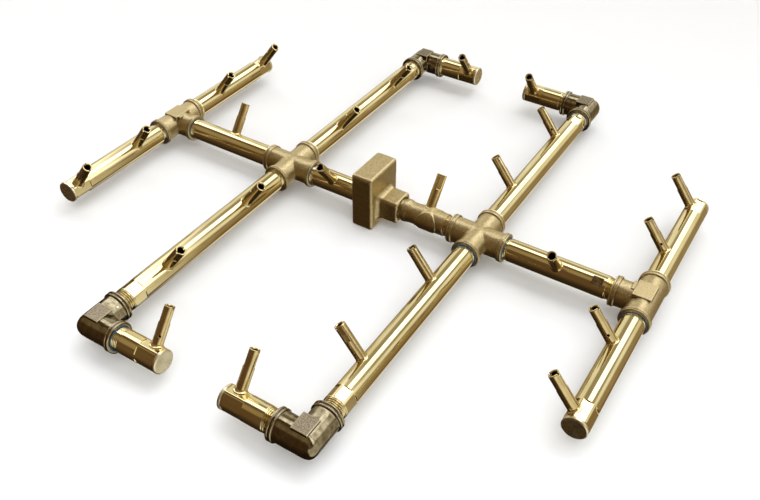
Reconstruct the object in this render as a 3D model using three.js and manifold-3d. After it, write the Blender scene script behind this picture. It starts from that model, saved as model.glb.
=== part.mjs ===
// An outdoor fire-pit gas burner in brass. A central air mixer feeds a trunk of half-inch pipe, crosses and
// tees spread the gas to side arms, elbows turn the long arms inwards, and every branch carries upright jets.
// Millimetres, +Z up. X runs along the trunk, Y along the side arms, and the mixer stands on z = 0.
import * as THREE from "three";
import { mergeVertices } from "three/addons/utils/BufferGeometryUtils.js";
import Module from "manifold-3d";

const wasm = await Module();
wasm.setup();

// ---------------------------------------------------------------- driving dimensions

const CLEARANCE = 0.3; // left between two pieces that touch

const PIPE_R = 10.67; // half-inch nominal pipe, 21.34 over the outside
const PIPE_BORE_R = 7.9;
const THREAD_R = 9.9; // over the threaded end of a pipe
const THREAD_DEPTH = 13; // how far a pipe end goes into a fitting
const EXPOSED_THREAD = 2.5; // thread that still shows beside a fitting

const PIPE_Z = 22; // the trunk's axis above the surface
const CROSS_X = 107.5; // trunk centre to each cross
const TEE_X = 266; // trunk centre to each tee
const CROSS_ARM = 271; // cross centre to elbow centre
const TEE_ARM = 158; // tee centre to the plugged end
const NIPPLE = 76.5; // elbow centre to the plugged end

const REACH = 28.4; // centre of a fitting to the face of each port
const FITTING_R = 12.6;
const COLLAR_R = 14;
const COLLAR_LENGTH = 5;
const COLLAR_SLOPE = 1.2;
const COLLAR_ROUND = 1.2;
const PASSAGE_R = 8;
const PORT_R = THREAD_R + CLEARANCE;
const PORT_DEPTH = THREAD_DEPTH + 0.5;
const TEE_PAD = { x: 17, y: 21, inset: 2 }; // raised blank pad, set towards the branch
const ELBOW_PAD = { x: 15, y: 17, inset: 3.5 }; // the same on an elbow, set towards both arms
const PAD_HEIGHT = 0.9; // above the body of the fitting

const PLUG_HEAD = 3;
const PLUG_CHAMFER = 0.9;
const PLUG_SPIGOT = 2.3;

const JET_R = 4.75;
const JET_BORE_R = 2.9;
const JET_ORIFICE_R = 1;
const JET_START = 7; // distances along a jet are measured from the axis of its pipe
const JET_CUP = 10.5;
const JET_TIP = 43.5;
const JET_BEVEL = 0.8;
const JET_TILT = THREE.MathUtils.degToRad(37.8); // each jet leans this far from upright

const TEE_JETS = [66.5, 146.5]; // distances from the tee
const CROSS_JETS = [81, 189.5]; // distances from the cross
const NIPPLE_JET = 65; // distance from the elbow
const TRUNK_OUTER_JET = 79; // distance from the cross
const LEFT_INNER_JET_X = -53;
const NECK_JET_X = 52;

const MIXER_X = -7.5; // middle of the mixer block
const MIXER_SIZE = { x: 23.2, y: 48, z: 59.5 };
const MIXER_ROUND = 2.4;
const MIXER_CAVITY = { x: 11.8, y: 38, bottom: 16, top: 56 };
const BOSS_SIZE = { y: 26, z: 24 }; // boss that takes the neck
const BOSS_LENGTH = 22;
const BOSS_FLARE = { spread: 6, length: 5 }; // where the boss leaves the block
const BOSS_ROUND = 2;
const BOSS_PORT_DEPTH = 16;
const BOSS_RECESS = { r: 11.6, depth: 1.5 };
const INLET_R = 8.3; // female thread for the gas supply, in the underside
const INLET_DEPTH = 10;
const AIR_WINDOW = { x: 8, y: 8, centre: 15 };

const NECK_END_R = 11.4;
const NECK_WAIST_R = 10.1;
const NECK_BODY_R = 11.2;
const NECK_THREAD_SHOWN = 5;
const NECK_RIB_X = 56; // a short cast rib crosses the neck here
const NECK_RIB_HALF = 3.5;

const ORIFICE_THREAD_R = 3;
const ORIFICE_HEAD_R = 5;
const ORIFICE_HEAD = 3.5;
const ORIFICE_NOSE = 4;
const ORIFICE_BORE_R = 0.9;

const PIPE_SIDES = 16;
const FITTING_SIDES = 16;
const JET_SIDES = 10;

const boreEnd = REACH - PORT_DEPTH; // where a threaded port stops, from the fitting's centre
const pipeEnd = REACH - THREAD_DEPTH; // where a pipe stops inside a fitting
const mixerLeft = MIXER_X - MIXER_SIZE.x / 2;
const mixerRight = MIXER_X + MIXER_SIZE.x / 2;
const bossFace = mixerRight + BOSS_LENGTH;
const UP = Math.PI / 2;

// ---------------------------------------------------------------- materials

function brass(color, roughness) {
  return new THREE.MeshStandardMaterial({ color, roughness, metalness: 1 });
}

const drawnBrass = brass(0xc9ac62, 0.18);
const castBrass = brass(0xa89467, 0.55);
const tumbledBrass = brass(0x94815c, 0.35);
const turnedBrass = brass(0xd6c48c, 0.3);

// ---------------------------------------------------------------- solids

// A manifold-3d solid from any closed three.js geometry. Coordinates are rounded to a thousandth, so that copies
// turned to different headings still meet point to point.
function solidOf(geometry) {
  const bare = geometry.clone();
  bare.deleteAttribute("normal");
  bare.deleteAttribute("uv");
  const merged = mergeVertices(bare, 1e-4);
  const mesh = new wasm.Mesh({
    numProp: 3,
    vertProperties: merged.attributes.position.array.map((value) => Math.round(value * 1000) / 1000),
    triVerts: new Uint32Array(merged.index.array),
  });
  return new wasm.Manifold(mesh);
}

function geometryOf(solid) {
  const { vertProperties, triVerts } = solid.getMesh();
  const geometry = new THREE.BufferGeometry();
  geometry.setAttribute("position", new THREE.BufferAttribute(vertProperties, 3));
  geometry.setIndex(new THREE.BufferAttribute(triVerts, 1));
  geometry.computeVertexNormals();
  return geometry;
}

function joined(first, ...others) {
  return others.reduce((whole, other) => whole.add(other), first);
}

function cut(first, ...others) {
  return others.reduce((whole, other) => whole.subtract(other), first);
}

// A profile of [radius, distance] points turned about the X axis. It ends on the axis or closes on itself.
function turned(profile, sides) {
  const points = profile.map(([radius, along]) => new THREE.Vector2(radius, along));
  return new THREE.LatheGeometry(points, sides).rotateZ(-UP);
}

function rod(radius, from, to, sides) {
  return turned([[0, from], [radius, from], [radius, to], [0, to]], sides);
}

function box(size, centre) {
  return new THREE.BoxGeometry(size[0], size[1], size[2]).translate(centre[0], centre[1], centre[2]);
}

// A rounded square prism along +X from x = 0, with its far edges bevelled.
function roundedPrism(sizeY, sizeZ, length, round) {
  const y = sizeY / 2 - round;
  const z = sizeZ / 2 - round;
  const outline = new THREE.Shape([
    new THREE.Vector2(-y, -z),
    new THREE.Vector2(y, -z),
    new THREE.Vector2(y, z),
    new THREE.Vector2(-y, z),
  ]);
  const options = {
    depth: length - 2 * round,
    bevelThickness: round,
    bevelSize: round,
    bevelSegments: 2,
    curveSegments: 2,
  };
  return new THREE.ExtrudeGeometry(outline, options)
    .translate(0, 0, round)
    .rotateX(UP)
    .rotateZ(UP);
}

// ---------------------------------------------------------------- pipes, plugs and jets

// Where a rod stands on a pipe that runs along +X: lean is +1 towards +Y and -1 towards -Y.
function leaning(geometry, distance, lean) {
  return geometry.rotateY(-UP).rotateX(-lean * JET_TILT).translate(distance, 0, 0);
}

function jetHole(distance, lean) {
  return solidOf(leaning(rod(JET_R + CLEARANCE, 0, PIPE_R + 6, JET_SIDES), distance, lean));
}

// A pipe along +X between two distances. A threaded end is turned down over its whole threaded length.
function pipe(from, to, threadFrom, threadTo, holes) {
  const startR = threadFrom > from ? THREAD_R : PIPE_R;
  const endR = threadTo < to ? THREAD_R : PIPE_R;
  const profile = [[PIPE_BORE_R, from], [startR, from]];
  if (threadFrom > from) {
    profile.push([THREAD_R, threadFrom], [PIPE_R, threadFrom]);
  }
  if (threadTo < to) {
    profile.push([PIPE_R, threadTo], [THREAD_R, threadTo]);
  }
  profile.push([endR, to], [PIPE_BORE_R, to], [PIPE_BORE_R, from]);
  return cut(solidOf(turned(profile, PIPE_SIDES)), ...holes);
}

// The cast neck between the mixer's boss and the right cross, drawn from the trunk's centre.
function neck(holes) {
  const innerEnd = bossFace - BOSS_PORT_DEPTH + CLEARANCE;
  const start = bossFace - BOSS_RECESS.depth + CLEARANCE;
  const end = CROSS_X - pipeEnd;
  const threadStart = CROSS_X - REACH - NECK_THREAD_SHOWN;
  const profile = [
    [PIPE_BORE_R, innerEnd],
    [THREAD_R, innerEnd],
    [THREAD_R, start],
    [NECK_WAIST_R, start],
    [NECK_WAIST_R, bossFace + 1.5],
    [NECK_END_R, bossFace + 3],
    [NECK_END_R, bossFace + 5.5],
    [NECK_WAIST_R, bossFace + 10],
    [NECK_WAIST_R, NECK_JET_X - 10],
    [NECK_BODY_R, NECK_JET_X - 4],
    [NECK_BODY_R, threadStart - 1],
    [THREAD_R, threadStart],
    [THREAD_R, end],
    [PIPE_BORE_R, end],
    [PIPE_BORE_R, innerEnd],
  ];
  const tube = solidOf(turned(profile, FITTING_SIDES));
  const rib = rod(NECK_BODY_R, -NECK_RIB_HALF, NECK_RIB_HALF, FITTING_SIDES)
    .rotateZ(UP)
    .translate(NECK_RIB_X, 0, 0);
  const passage = rod(PIPE_BORE_R, mixerRight, end + 1, FITTING_SIDES);
  return cut(joined(tube, solidOf(rib)), solidOf(passage), ...holes);
}

// A plug whose head closes the end of a pipe at the given distance.
function plug(end) {
  return turned(
    [
      [0, end - PLUG_HEAD - PLUG_SPIGOT],
      [PIPE_BORE_R - CLEARANCE, end - PLUG_HEAD - PLUG_SPIGOT],
      [PIPE_BORE_R - CLEARANCE, end - PLUG_HEAD],
      [PIPE_R, end - PLUG_HEAD],
      [PIPE_R, end - PLUG_CHAMFER],
      [PIPE_R - PLUG_CHAMFER, end],
      [0, end],
    ],
    PIPE_SIDES,
  );
}

function jet(distance, lean) {
  const profile = [
    [JET_ORIFICE_R, JET_START],
    [JET_R, JET_START],
    [JET_R, JET_TIP],
    [JET_BORE_R + JET_BEVEL, JET_TIP],
    [JET_BORE_R, JET_TIP - JET_BEVEL],
    [JET_BORE_R, JET_CUP],
    [JET_ORIFICE_R, JET_CUP],
    [JET_ORIFICE_R, JET_START],
  ];
  return leaning(turned(profile, JET_SIDES), distance, lean);
}

// ---------------------------------------------------------------- cast fittings

// One arm of a fitting along +X, with the collar round its port.
function arm() {
  return turned(
    [
      [0, 0],
      [FITTING_R, 0],
      [FITTING_R, REACH - COLLAR_LENGTH - COLLAR_SLOPE],
      [COLLAR_R, REACH - COLLAR_LENGTH],
      [COLLAR_R, REACH - COLLAR_ROUND],
      [COLLAR_R - COLLAR_ROUND, REACH],
      [0, REACH],
    ],
    FITTING_SIDES,
  );
}

function armBore() {
  return turned(
    [
      [0, 0],
      [PASSAGE_R, 0],
      [PASSAGE_R, boreEnd],
      [PORT_R, boreEnd],
      [PORT_R, REACH + 1],
      [0, REACH + 1],
    ],
    FITTING_SIDES,
  );
}

// The raised blank pad on top of a fitting, moved from the fitting's centre.
function pad(size, x, y) {
  const top = FITTING_R + PAD_HEIGHT;
  return solidOf(box([size.x, size.y, top], [x, y, top / 2]));
}

function atHeading(geometry, headingDegrees) {
  return solidOf(geometry.rotateZ(THREE.MathUtils.degToRad(headingDegrees)));
}

// A tee or a cross, with an arm at each heading in degrees about Z.
function straightFitting(headings, pads) {
  const arms = headings.map((heading) => atHeading(arm(), heading));
  const bores = headings.map((heading) => atHeading(armBore(), heading));
  return cut(joined(...arms, ...pads), ...bores);
}

// An elbow, whose corner is a ball outside and inside.
function elbowFitting(headings, pads) {
  const corner = (radius) => new THREE.SphereGeometry(radius, FITTING_SIDES, FITTING_SIDES / 2).rotateX(UP);
  const arms = headings.map((heading) => atHeading(arm(), heading));
  const bores = headings.map((heading) => atHeading(armBore(), heading));
  return cut(joined(solidOf(corner(FITTING_R)), ...arms, ...pads), solidOf(corner(PASSAGE_R)), ...bores);
}

// ---------------------------------------------------------------- mixer

// The flare where the boss leaves the block: a four-sided pyramid cut off short, along +X from x = 0.
function bossFlare() {
  const tip = (BOSS_SIZE.y / 2) * Math.SQRT2;
  const wide = ((BOSS_SIZE.y + BOSS_FLARE.spread) / 2) * Math.SQRT2;
  const profile = [[0, -1], [wide, -1], [wide, 0], [tip, BOSS_FLARE.length], [0, BOSS_FLARE.length]];
  return turned(profile, 4).rotateX(Math.PI / 4).scale(1, 1, BOSS_SIZE.z / BOSS_SIZE.y);
}

function mixerBody() {
  const { x, y, z } = MIXER_SIZE;
  const block = roundedPrism(y, z, x, MIXER_ROUND).translate(mixerLeft, 0, z / 2);
  const bossBack = mixerRight - MIXER_ROUND - 1;
  const bossLength = bossFace - bossBack;
  const boss = roundedPrism(BOSS_SIZE.y, BOSS_SIZE.z, bossLength, BOSS_ROUND).translate(bossBack, 0, PIPE_Z);
  const flare = bossFlare().translate(mixerRight, 0, PIPE_Z);
  const cavityHeight = MIXER_CAVITY.top - MIXER_CAVITY.bottom;
  const cavityCentre = [MIXER_X, 0, MIXER_CAVITY.bottom + cavityHeight / 2];
  const cavity = box([MIXER_CAVITY.x, MIXER_CAVITY.y, cavityHeight], cavityCentre);
  const onTrunk = (radius, from, to) => rod(radius, from, to, FITTING_SIDES).translate(0, 0, PIPE_Z);
  const leftPort = onTrunk(PORT_R, mixerLeft - 1, MIXER_X);
  const throat = onTrunk(PASSAGE_R, MIXER_X, bossFace);
  const rightPort = onTrunk(PORT_R, bossFace - BOSS_PORT_DEPTH, bossFace + 1);
  const recess = onTrunk(BOSS_RECESS.r, bossFace - BOSS_RECESS.depth, bossFace + 1);
  const inlet = rod(INLET_R, -1, INLET_DEPTH, FITTING_SIDES).rotateY(-UP).translate(MIXER_X, 0, 0);
  const seat = rod(ORIFICE_THREAD_R + CLEARANCE, 0, MIXER_CAVITY.bottom + 1, JET_SIDES)
    .rotateY(-UP)
    .translate(MIXER_X, 0, 0);
  const windows = [-1, 1].map((side) => {
    const height = MIXER_CAVITY.bottom + 2;
    const centre = [MIXER_X, side * AIR_WINDOW.centre, height / 2 - 1];
    return solidOf(box([AIR_WINDOW.x, AIR_WINDOW.y, height], centre));
  });
  const holes = [cavity, leftPort, throat, rightPort, recess, inlet, seat].map(solidOf);
  return cut(joined(solidOf(block), solidOf(boss), solidOf(flare)), ...holes, ...windows);
}

// The drilled brass spud that meters the gas, screwed up into the roof of the inlet.
function gasOrifice() {
  const seatZ = INLET_DEPTH - CLEARANCE;
  const top = MIXER_CAVITY.bottom + ORIFICE_NOSE;
  const profile = [
    [ORIFICE_BORE_R, seatZ - ORIFICE_HEAD],
    [ORIFICE_HEAD_R, seatZ - ORIFICE_HEAD],
    [ORIFICE_HEAD_R, seatZ],
    [ORIFICE_THREAD_R, seatZ],
    [ORIFICE_THREAD_R, top - 2],
    [ORIFICE_BORE_R + 0.8, top],
    [ORIFICE_BORE_R, top],
    [ORIFICE_BORE_R, seatZ - ORIFICE_HEAD],
  ];
  return turned(profile, JET_SIDES).rotateY(-UP);
}

// ---------------------------------------------------------------- assembly

const burner = new THREE.Group();

function addMesh(parent, name, shape, material, position = [0, 0, 0]) {
  const geometry = shape.isBufferGeometry ? shape : geometryOf(shape);
  const mesh = new THREE.Mesh(geometry, material);
  mesh.name = name;
  mesh.position.set(...position);
  parent.add(mesh);
}

// A frame at the centre of a fitting, with +X along the branch that leaves it.
function branchFrame(x, y, headingDegrees) {
  const frame = new THREE.Group();
  frame.position.set(x, y, PIPE_Z);
  frame.rotation.z = THREE.MathUtils.degToRad(headingDegrees);
  burner.add(frame);
  return frame;
}

// A branch that starts in a fitting and ends in a plug.
function pluggedBranch(frame, name, length, jets, lean) {
  const tubeEnd = length - PLUG_HEAD - CLEARANCE;
  const holes = jets.map((distance) => jetHole(distance, lean));
  const tube = pipe(pipeEnd, tubeEnd, REACH + EXPOSED_THREAD, tubeEnd, holes);
  addMesh(frame, `${name}_pipe`, tube, drawnBrass);
  addMesh(frame, `${name}_plug`, plug(length), turnedBrass);
}

// A branch that runs from one fitting to the next.
function linkBranch(frame, name, span, jets, lean) {
  const holes = jets.map((distance) => jetHole(distance, lean));
  const shown = REACH + EXPOSED_THREAD;
  addMesh(frame, `${name}_pipe`, pipe(pipeEnd, span - pipeEnd, shown, span - shown, holes), drawnBrass);
}

function addJets(frame, name, distances, lean) {
  distances.forEach((distance, index) => {
    const suffix = distances.length > 1 ? ["_inner", "_outer"][index] : "";
    addMesh(frame, `${name}_jet${suffix}`, jet(distance, lean), turnedBrass);
  });
}

for (const [sideName, side] of [["left", -1], ["right", 1]]) {
  const outward = side > 0 ? 0 : 180;
  const inwardHeading = 180 - outward;

  // The tee at the end of the trunk, with its pad over the junction.
  const tee = straightFitting([90, -90, inwardHeading], [pad(TEE_PAD, -side * TEE_PAD.inset, 0)]);
  addMesh(burner, `${sideName}_tee`, tee, castBrass, [side * TEE_X, 0, PIPE_Z]);

  const cross = straightFitting([0, 90, 180, -90], []);
  addMesh(burner, `${sideName}_cross`, cross, castBrass, [side * CROSS_X, 0, PIPE_Z]);

  // The pipe between cross and tee: the left jet leans to the back and the right one to the front.
  const trunk = branchFrame(side * CROSS_X, 0, outward);
  linkBranch(trunk, `${sideName}_trunk`, TEE_X - CROSS_X, [TRUNK_OUTER_JET], -1);
  addJets(trunk, `${sideName}_trunk`, [TRUNK_OUTER_JET], -1);

  for (const [endName, end] of [["front", -1], ["back", 1]]) {
    const heading = end * 90;
    const inward = side * end; // the jets of an arm lean towards the trunk's centre

    const teeArm = branchFrame(side * TEE_X, 0, heading);
    pluggedBranch(teeArm, `${sideName}_${endName}_tee_arm`, TEE_ARM, TEE_JETS, inward);
    addJets(teeArm, `${sideName}_${endName}_tee_arm`, TEE_JETS, inward);

    const crossArm = branchFrame(side * CROSS_X, 0, heading);
    linkBranch(crossArm, `${sideName}_${endName}_cross_arm`, CROSS_ARM, CROSS_JETS, inward);
    addJets(crossArm, `${sideName}_${endName}_cross_arm`, CROSS_JETS, inward);

    const cornerPad = pad(ELBOW_PAD, -side * ELBOW_PAD.inset, -end * ELBOW_PAD.inset);
    const elbow = elbowFitting([-heading, inwardHeading], [cornerPad]);
    const corner = [side * CROSS_X, end * CROSS_ARM, PIPE_Z];
    addMesh(burner, `${sideName}_${endName}_elbow`, elbow, tumbledBrass, corner);

    const nipple = branchFrame(side * CROSS_X, end * CROSS_ARM, inwardHeading);
    pluggedBranch(nipple, `${sideName}_${endName}_nipple`, NIPPLE, [NIPPLE_JET], inward);
    addJets(nipple, `${sideName}_${endName}_nipple`, [NIPPLE_JET], inward);
  }
}

// The left inner pipe screws into the mixer's left face, and its jet leans to the front.
const leftInner = branchFrame(-CROSS_X, 0, 0);
const leftInnerJet = LEFT_INNER_JET_X + CROSS_X;
const leftInnerEnd = MIXER_X - MIXER_CAVITY.x / 2 + CROSS_X - CLEARANCE;
const leftInnerShoulder = mixerLeft + CROSS_X - CLEARANCE;
const leftInnerHole = jetHole(leftInnerJet, -1);
const leftInnerPipe = pipe(pipeEnd, leftInnerEnd, REACH + EXPOSED_THREAD, leftInnerShoulder, [leftInnerHole]);
addMesh(leftInner, "left_inner_trunk_pipe", leftInnerPipe, drawnBrass);
addJets(leftInner, "left_inner_trunk", [leftInnerJet], -1);

// The neck on the other side, whose jet leans to the back.
const neckFrame = branchFrame(0, 0, 0);
addMesh(neckFrame, "mixer_neck", neck([jetHole(NECK_JET_X, 1)]), castBrass);
addJets(neckFrame, "neck", [NECK_JET_X], 1);

addMesh(burner, "mixer_body", mixerBody(), castBrass);
addMesh(burner, "gas_orifice", gasOrifice(), turnedBrass, [MIXER_X, 0, 0]);

export default burner;
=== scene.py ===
"""The finished look of the fire-pit gas burner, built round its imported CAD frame.

Castings and jets are described as solid fields and meshed. Pipes, plugs and sealant are swept from rings.
Every piece stands for one CAD node. Shapes are drawn in millimetres and placed in metres, with +Z up,
X along the trunk and Y along the side arms.
"""

import math
from functools import partial
from itertools import product

import bpy
import numpy as np
from mathutils import Matrix, Vector


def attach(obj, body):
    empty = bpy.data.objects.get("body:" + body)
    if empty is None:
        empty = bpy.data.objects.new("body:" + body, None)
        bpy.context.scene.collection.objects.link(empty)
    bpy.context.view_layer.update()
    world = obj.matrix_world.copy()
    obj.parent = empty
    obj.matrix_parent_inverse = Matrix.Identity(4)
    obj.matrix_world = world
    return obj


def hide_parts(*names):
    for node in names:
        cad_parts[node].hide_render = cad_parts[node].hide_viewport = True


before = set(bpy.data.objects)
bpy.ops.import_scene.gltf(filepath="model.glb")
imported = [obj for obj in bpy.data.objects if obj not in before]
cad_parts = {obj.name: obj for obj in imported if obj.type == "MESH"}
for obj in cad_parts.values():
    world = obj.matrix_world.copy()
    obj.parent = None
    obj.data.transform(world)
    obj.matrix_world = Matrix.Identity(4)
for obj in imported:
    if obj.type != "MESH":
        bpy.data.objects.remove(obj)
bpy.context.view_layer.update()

MM = 0.001
COARSENESS = 1.0

# ---------------------------------------------------------------- dimensions of the CAD part

PIPE_R = 10.67
PIPE_BORE_R = 7.9
THREAD_R = 9.9
PIPE_Z = 22
CROSS_X = 107.5
TEE_X = 266
CROSS_ARM = 271
TEE_ARM = 158
NIPPLE = 76.5

REACH = 28.4
FITTING_R = 12.6
COLLAR_R = 14
COLLAR_LENGTH = 5
PASSAGE_R = 8
PORT_R = 10.2
BORE_END = 14.9
PIPE_END = 15.4
PAD_TOP = 13.5
TEE_PAD = (17, 21)
TEE_PAD_INSET = 2
ELBOW_PAD = (15, 17)
ELBOW_PAD_INSET = 3.5

PLUG_HEAD = 3
PLUG_CHAMFER = 0.9
PLUG_SPIGOT_R = 7.6
PLUG_SPIGOT = 2.3
CLEARANCE = 0.3

JET_R = 4.75
JET_BORE_R = 2.9
JET_ORIFICE_R = 1
JET_TIP = 43.5
JET_TILT = math.radians(37.8)
TEE_JETS = (66.5, 146.5)
CROSS_JETS = (81, 189.5)
NIPPLE_JET = 65
TRUNK_OUTER_JET = 79
LEFT_INNER_JET_X = -53
NECK_JET_X = 52

MIXER_X = -7.5
MIXER_SIZE = (23.2, 48, 59.5)
MIXER_LEFT = MIXER_X - MIXER_SIZE[0] / 2
MIXER_RIGHT = MIXER_X + MIXER_SIZE[0] / 2
CAVITY_SIZE = (11.8, 38, 40)
CAVITY_BOTTOM = 16
BOSS_SIZE = (26, 24)
BOSS_LENGTH = 22
BOSS_FACE = MIXER_RIGHT + BOSS_LENGTH
BOSS_PORT_DEPTH = 16
BOSS_RECESS_R = 11.6
BOSS_RECESS = 1.5
INLET_R = 8.3
INLET_DEPTH = 10
WINDOW_SIZE = 8
WINDOW_Y = 15

NECK_THREAD_START = 74.1
NECK_END = CROSS_X - PIPE_END
NECK_CROSSING_X = 56

ORIFICE_THREAD_R = 3
ORIFICE_HEAD_R = 5
ORIFICE_HEAD = 3.5
ORIFICE_TOP = 20
ORIFICE_BORE_R = 0.9

# ---------------------------------------------------------------- finer shape that the CAD leaves out

THREAD_PITCH = 1.81
THREAD_HEIGHT = 0.75
THREAD_SHOWN = 3.2  # length of thread beside most fittings
LONG_THREAD = 7  # and beside the fittings that were screwed on less far
TEE_THREAD = 4.5  # on the trunk pipes, beside the tees
MIXER_THREAD = 1.5  # on the trunk pipe, beside the mixer
THREAD_TAPER = 0.06  # growth in radius per millimetre

FLAT_DEPTH = 0.95  # spanner flats cut into the pipes
FLAT_RUN_OUT = 0.35
PLAIN_RING = 0.4  # beyond each thread or flat, so that the shading of the plain pipe stays even
PLUG_FLATS = 22  # length of the flats at each plugged end
ELBOW_FLATS = (9, 21)  # where the flats of a side arm lie, from the face of its elbow
TEE_ARM_FLATS_FACING = {-1: 22, 1: 7}  # degrees from the top towards +X, on the left and right sides
CROSS_ARM_FLATS_FACING = {-1: 28, 1: 14}
NIPPLE_FLATS_FACING = 45  # towards the front
TRUNK_FLAT_FACING = -38
TRUNK_FLAT = (112.5, 121.5)  # one more flat on the right trunk pipe, from its cross
TRUNK_FLAT_HALF = 22  # half the angle that it takes up

ELBOW_CORNER = 3.2  # squareness of the outer corner of an elbow, where 2 would be a ball
CORNER_FILLET = 0.9  # between two arms of a fitting
CREST_FILLET = 0.2  # where the same blend runs out over the top
COLLAR_ROUND = 0.75
COLLAR_FILLET = 0.7
COLLAR_GROOVES = {"cast": (1.7, 0.45), "elbow": (2.5, 0.8)}  # distance behind the face, and radius
GROOVE_EDGE = 0.25
PAD_ROUND = 0.3
PAD_FILLET = 0.15
PORT_EDGE = 0.5
TEE_STEP = (6, 11)  # the lower step of a tee's pad, towards its branch
TEE_STEP_Y = -2

CAST_LUMPS = (0.12, 5)  # how deep the unevenness of a surface is, and how far apart its lumps lie
ELBOW_LUMPS = (0.1, 5)
MIXER_LUMPS = (0.25, 9)
NECK_LUMPS = (0.14, 4)
BRAZE_LUMPS = (0.5, 3)

MIXER_ROUND = 3.4
BOSS_ROUND = 3.6
BOSS_FILLET = 5.5
CAVITY_ROUND = 1.5
WINDOW_ROUND = 0.6
MIXER_EDGE = 0.4  # round the mixer's openings
MIXER_FOOT = 3  # height over which the rough casting fades into the flat foot
INLET_THREAD_HEIGHT = 0.7
INLET_COUNTERSINK = 0.9

NECK_OUTLINE = [  # distance along the trunk, and radius
    (0, 9.9),
    (24.9, 9.9),
    (25, 10.1),
    (27.9, 10.1),
    (28.7, 11.4),
    (31.8, 11.4),
    (33.4, 10.8),
    (36.4, 10.3),
    (41, 10.4),
    (45.5, 11.1),
    (90, 11.1),
]
NECK_THREAD_ROOT = THREAD_R - 0.4
NECK_BRANCH_R = 11.2
NECK_BRANCH_REACH = 12
NECK_EDGE = 0.5

JET_RIM = 0.55
JET_CUP = 12.5
JET_FLARE = 0.7  # how much the bore widens at the mouth
JET_FLARE_START = JET_TIP - 0.9
JET_FLATS_START = 29
JET_FLATS_WIDTH = 8.3
JET_SLOT = (1.6, 2.0)  # width and depth of the slot across the mouth
JET_SLOT_TURN = math.radians(50)
JET_BOTTOM = 6.5
AIR_HOLE_R = 1.1
AIR_HOLE_AT = 18.5
BRAZE = 1.3  # fillet of brazing metal round the foot of a jet
BRAZE_REACH = 1.5  # how far that fillet spreads from the jet
BRAZE_DEPTH = 0.6  # and how far the foot sinks into its pipe
HOLE_BEARING = -58  # world bearing, about Z from +X, that the air hole of a jet with no quarter turns faces
HOLE_QUARTERS = {  # jets whose air hole shows from the front
    "left_front_nipple_jet": 0,
    "right_front_tee_arm_jet_inner": 0,
    "right_back_tee_arm_jet_inner": 0,
    "right_back_cross_arm_jet_outer": 0,
}

SEALED_PORTS = [  # x and y of the fitting, heading of the port, and how much compound shows
    (CROSS_X, 0, -90, 1.6),
    (CROSS_X, 0, 0, 1.0),
    (-CROSS_X, 0, 0, 0.9),
    (-CROSS_X, -CROSS_ARM, 0, 1.2),
    (TEE_X, 0, -90, 0.9),
    (CROSS_X, CROSS_ARM, -90, 0.9),
    (-TEE_X, 0, 0, 0.5),
    (-TEE_X, 0, -90, 0.4),
]

AROUND = 160  # points in each ring of a swept piece
CAST_STEP = 0.46  # grid spacing for the fittings
MIXER_STEP = 0.55
NECK_STEP = 0.4
JET_STEP = 0.3

# ---------------------------------------------------------------- stage, light and camera

FLOOR_R = 2.0
STAGE_R = 3.0
STAGE_RISE = 1.6
FLOOR_COLOUR = (0.92, 0.93, 0.94, 1)

SOFTBOX_SIZE = (2.3, 2.1)
SOFTBOX_AT = (0.5, -0.9, 1.7)
SOFTBOX_POWER = 26
SOFTBOX_COLOUR = (0.90, 0.95, 1.0)

BRIGHT = (2.7, 2.7, 2.75)
PALE = (0.90, 0.86, 0.74)
OLIVE = (0.34, 0.30, 0.21)
DIM = (0.33, 0.25, 0.14)
RUST = (0.16, 0.085, 0.032)
GREY = (0.8, 0.85, 0.72)
BROWN = (0.12, 0.07, 0.032)
DARK = (0.03, 0.02, 0.011)

# What each part of the room shows along one axis of the direction, from -1 to 1.
CEILING = [(-0.62, PALE), (-0.5, OLIVE), (-0.14, OLIVE), (-0.05, BRIGHT), (0.11, BRIGHT), (0.14, GREY)]
CEILING += [(0.17, GREY), (0.2, BRIGHT), (0.3, BRIGHT), (0.4, OLIVE), (0.56, OLIVE), (0.7, PALE)]
WALL = [(-0.75, RUST), (-0.5, DIM), (-0.08, DIM), (0.1, PALE)]
WALL_SLOPE = -0.25
GROUND = [(-0.3, DIM), (-0.05, PALE), (0.2, PALE), (0.3, RUST), (0.5, RUST), (0.62, DIM)]
OVERHEAD = [(-0.72, BROWN), (-0.62, DIM), (-0.3, DIM), (-0.08, BROWN), (0.1, BROWN)]
OVERHEAD += [(0.2, BRIGHT), (0.3, BRIGHT), (0.33, GREY), (0.36, GREY), (0.39, BRIGHT)]
UNDERNEATH = [(-0.8, DARK), (-0.1, BROWN)]

# Where one part of the room fades into the next, along the same axes.
WALL_TO_CEILING = (0.44, 0.54)
GROUND_TO_WALL = (-0.6, -0.5)
UNDER_TO_OVER = (0.2, 0.45)
FRONT_TO_BACK = (0.42, 0.54)
CARD_FROM = (0.42, 0.56)  # a pale card on the right, below the level of the eye
CARD_TOP = (0.1, 0.3)

CAMERA_TARGET = Vector((0.0395, -0.0643, 0.022))
CAMERA_DISTANCE = 0.7622
CAMERA_AZIMUTH = math.radians(31.713)
CAMERA_ELEVATION = math.radians(40.674)
CAMERA_ROLL = math.radians(0.679)
CAMERA_LENS = 39.57
CAMERA_SENSOR = 36


# ---------------------------------------------------------------- solid fields
# A field gives roughly the distance in millimetres from each point to a surface, negative inside.


def meet(a, b, radius=0.0):
    """The part in both fields, its outer edge rounded."""
    over = np.hypot(np.maximum(a + radius, 0), np.maximum(b + radius, 0))
    return np.minimum(np.maximum(a, b), -radius) + over


def join(a, b, radius=0.0):
    """Both fields as one, the corner between them filled to a radius."""
    return -meet(-a, -b, radius)


def carve(a, b, radius=0.0):
    """The first field with the second cut out of it."""
    return meet(a, -b, radius)


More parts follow.
